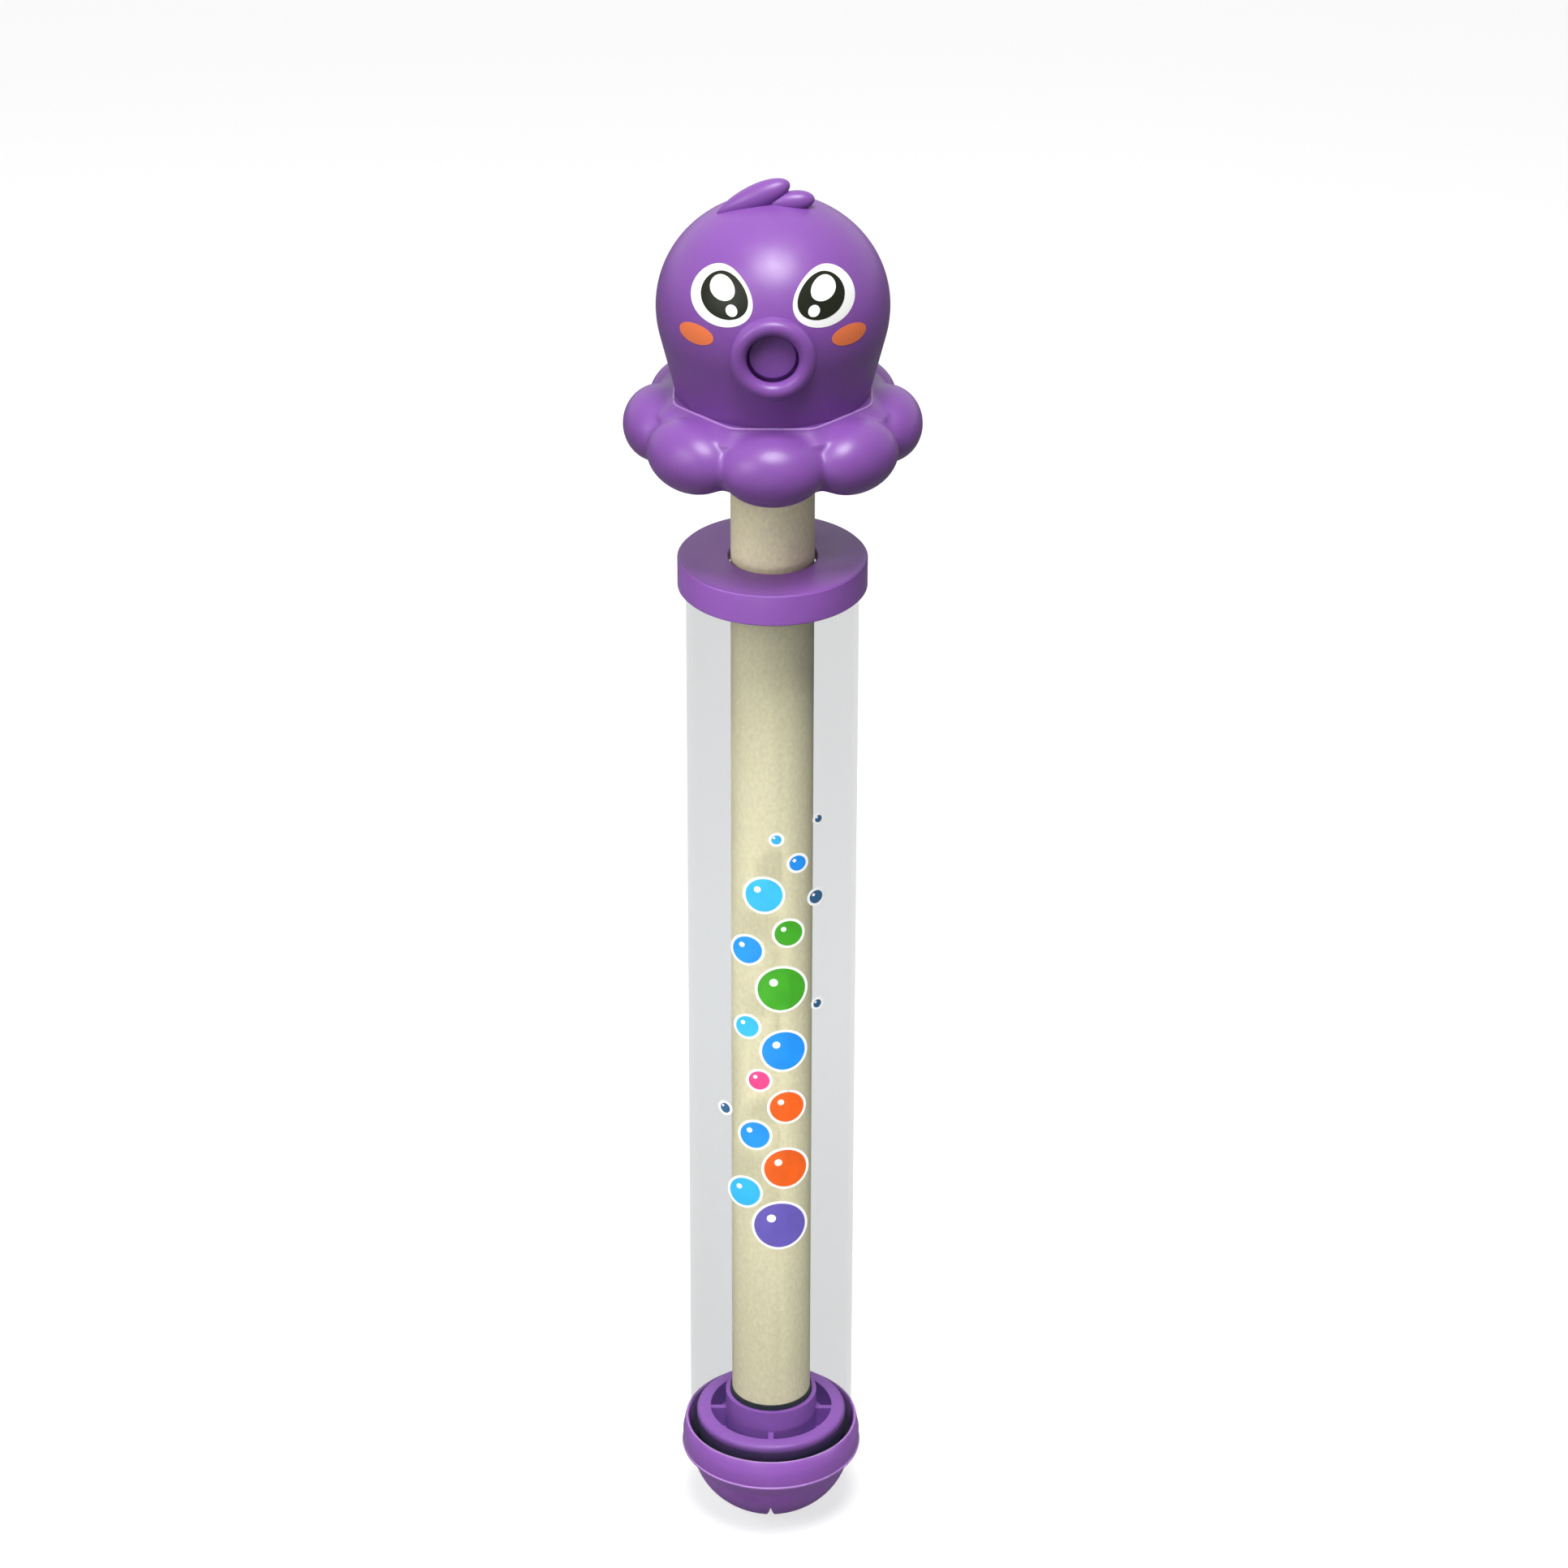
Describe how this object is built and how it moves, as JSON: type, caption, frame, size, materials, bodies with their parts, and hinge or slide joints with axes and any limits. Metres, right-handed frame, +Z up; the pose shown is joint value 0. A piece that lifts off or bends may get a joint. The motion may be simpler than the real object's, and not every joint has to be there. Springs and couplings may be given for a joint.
{
  "type": "water squirter",
  "caption": "Toy water squirter: a clear tube with a domed nozzle cap and a plunger on a hollow rod, whose handle is a rounded octopus with a ring of tentacles.",
  "frame": {"origin": "tip of the nozzle cap, on the barrel's axis", "axes": "+Z up the barrel towards the handle, -Y the way the face looks, +X to the right of someone who faces it"},
  "size_m": [0.0514, 0.0514, 0.2696],
  "materials": {
    "purple_plastic": "satin moulded",
    "beige_plastic": "extruded",
    "clear_plastic": "clear, faintly frosted",
    "white_plastic": "moulded",
    "black_rubber": "moulded",
    "screw_steel": "plated"
  },
  "bodies": {
    "barrel": {"nozzle_cap": "purple_plastic", "barrel_gasket": "black_rubber", "barrel_tube": "clear_plastic", "top_cap": "purple_plastic"},
    "seal": {"piston_o_ring": "black_rubber"},
    "plunger": {"piston": "purple_plastic", "piston_screw": "screw_steel", "piston_screw_seal": "black_rubber", "rod_seal_ring": "black_rubber", "plunger_rod": "beige_plastic", "rod_bottom_plug": "white_plastic", "rod_top_plug": "white_plastic", "rod_top_screw": "screw_steel", "rod_top_washer": "screw_steel", "skirt_base": "purple_plastic", "base_screws": "screw_steel", "tentacle_skirt": "purple_plastic", "head_front_shell": "purple_plastic", "head_rear_shell": "purple_plastic"}
  },
  "joints": [
    {"name": "plunger_slide", "type": "slide", "parent": "barrel", "child": "seal", "axis": [0, 0, 1], "range_m": [0, 0.172]},
    {"name": "plunger_twist", "type": "hinge", "parent": "seal", "child": "plunger", "pos_m": [0, 0, 0], "axis": [0, 0, 1], "continuous": true}
  ]
}
